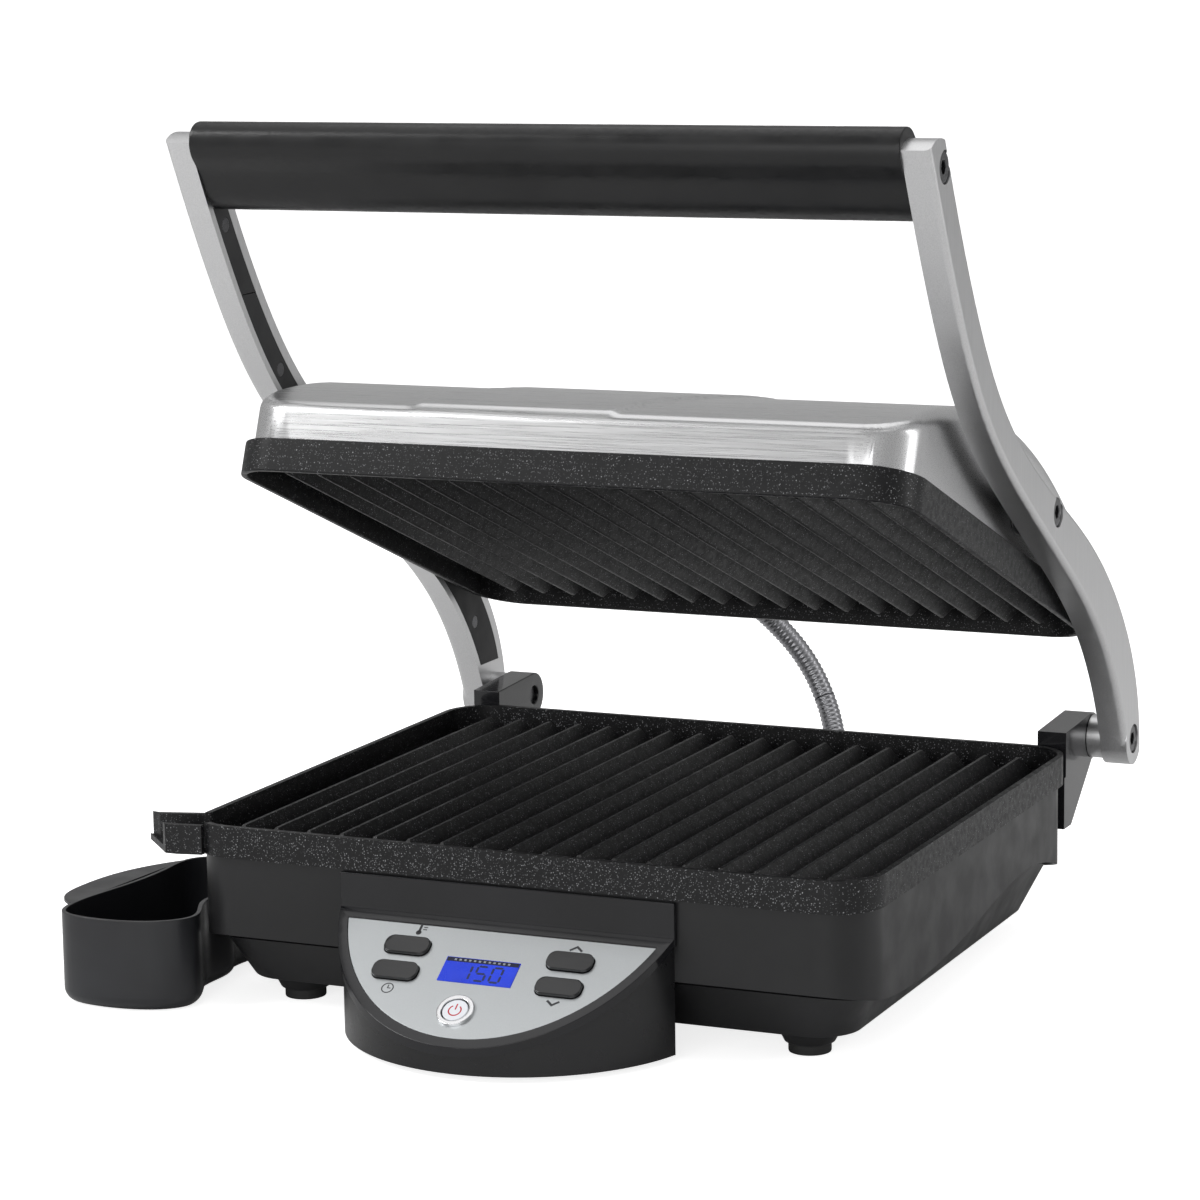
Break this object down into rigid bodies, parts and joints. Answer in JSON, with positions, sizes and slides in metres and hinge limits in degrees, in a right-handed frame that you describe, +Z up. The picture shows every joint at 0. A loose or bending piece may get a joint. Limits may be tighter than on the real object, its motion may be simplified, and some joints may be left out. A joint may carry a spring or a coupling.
{
  "type": "panini press",
  "caption": "Contact grill with a lifting, self-levelling ribbed upper plate on two swing arms, a front control panel and a free-standing grease tray.",
  "frame": {"origin": "middle of the object's footprint on the table, measured without the power conduit", "axes": "+X to the object's right, +Y towards its hinge side, +Z up"},
  "size_m": [0.4342, 0.4752, 0.4116],
  "materials": {
    "housing_black": "satin",
    "pan_black": "satin",
    "foot_rubber": "matte",
    "plate_coating": "speckled non-stick coating",
    "heater_steel": "satin",
    "shield_aluminium": "satin",
    "sensor_brass": "satin",
    "bracket_gloss": "gloss",
    "screw_steel": "polished",
    "module_black": "satin",
    "bezel_gloss": "gloss",
    "fascia_silver": "satin metallic",
    "lens_glass": "gloss",
    "display_blue": "satin",
    "board_green": "matte",
    "ring_chrome": "polished",
    "gland_rubber": "matte",
    "conduit_metal": "ribbed",
    "arm_aluminium": "brushed",
    "arm_cover_black": "matte",
    "grip_black": "satin",
    "rod_steel": "plain",
    "cover_steel": "brushed along the width",
    "tray_grey": "satin",
    "key_black": "gloss",
    "power_white": "gloss"
  },
  "bodies": {
    "base": {"base_housing": "housing_black", "base_pan": "pan_black", "foot_front_left": "foot_rubber", "foot_front_right": "foot_rubber", "foot_rear_left": "foot_rubber", "foot_rear_right": "foot_rubber", "lower_grill_plate": "plate_coating", "lower_heating_element": "heater_steel", "lower_heat_shield": "shield_aluminium", "lower_thermostat": "sensor_brass", "hinge_bracket_left": "bracket_gloss", "hinge_bracket_right": "bracket_gloss", "hinge_screw_left": "screw_steel", "hinge_screw_right": "screw_steel", "control_housing": "module_black", "control_apron": "bezel_gloss", "control_bezel": "bezel_gloss", "control_fascia": "fascia_silver", "display_lens": "lens_glass", "display_module": "display_blue", "control_board": "board_green", "power_button_ring": "ring_chrome", "conduit_gland_base": "gland_rubber", "mains_cord_gland": "gland_rubber", "power_conduit": "conduit_metal"},
    "arms": {"arm_left": "arm_aluminium", "arm_right": "arm_aluminium", "arm_cover_upper_left": "arm_cover_black", "arm_cover_upper_right": "arm_cover_black", "arm_cover_lower_left": "arm_cover_black", "arm_cover_lower_right": "arm_cover_black", "arm_cover_screw_1_left": "screw_steel", "arm_cover_screw_1_right": "screw_steel", "arm_cover_screw_2_left": "screw_steel", "arm_cover_screw_2_right": "screw_steel", "arm_cover_screw_3_left": "screw_steel", "arm_cover_screw_3_right": "screw_steel", "handle_grip": "grip_black", "handle_rod": "rod_steel", "grip_screw_left": "screw_steel", "grip_screw_right": "screw_steel"},
    "head": {"head_cover": "cover_steel", "head_frame": "rod_steel", "upper_grill_plate": "plate_coating", "upper_heating_element": "heater_steel", "upper_heat_shield": "shield_aluminium", "upper_thermostat": "sensor_brass", "pivot_bush_left": "bracket_gloss", "pivot_bush_right": "bracket_gloss", "pivot_screw_left": "screw_steel", "pivot_screw_right": "screw_steel", "conduit_gland_head": "gland_rubber"},
    "drip_tray": {"drip_tray": "tray_grey"},
    "button_temp": {"button_temp": "key_black"},
    "button_time": {"button_time": "key_black"},
    "button_up": {"button_up": "key_black"},
    "button_down": {"button_down": "key_black"},
    "button_power": {"button_power": "power_white"}
  },
  "joints": [
    {"name": "lid_hinge", "type": "hinge", "parent": "base", "child": "arms", "pos_m": [0, 0.1984, 0.086], "axis": [-1, 0, 0], "range_deg": [-34.3, 45], "deforming": ["power_conduit"]},
    {"name": "head_tilt", "type": "hinge", "parent": "arms", "child": "head", "pos_m": [0, 0.069, 0.2213], "axis": [-1, 0, 0], "range_deg": [-17.2, 13.2]},
    {"name": "tray_slide", "type": "slide", "parent": "base", "child": "drip_tray", "axis": [-1, 0, 0], "range_m": [0, 0.12]},
    {"name": "temp_press", "type": "slide", "parent": "base", "child": "button_temp", "axis": [0, 0.5559, -0.8313], "range_m": [0, 0.001], "stiffness_N_per_m": 600, "springref_m": -0.0005},
    {"name": "time_press", "type": "slide", "parent": "base", "child": "button_time", "axis": [0, 0.5559, -0.8313], "range_m": [0, 0.001], "stiffness_N_per_m": 600, "springref_m": -0.0005},
    {"name": "up_press", "type": "slide", "parent": "base", "child": "button_up", "axis": [0, 0.5559, -0.8313], "range_m": [0, 0.001], "stiffness_N_per_m": 600, "springref_m": -0.0005},
    {"name": "down_press", "type": "slide", "parent": "base", "child": "button_down", "axis": [0, 0.5559, -0.8313], "range_m": [0, 0.001], "stiffness_N_per_m": 600, "springref_m": -0.0005},
    {"name": "power_press", "type": "slide", "parent": "base", "child": "button_power", "axis": [0, 0.5559, -0.8313], "range_m": [0, 0.001], "stiffness_N_per_m": 600, "springref_m": -0.0005}
  ],
  "couplings": [
    {"joint": "head_tilt", "follows": "lid_hinge", "ratio": -0.37782}
  ]
}
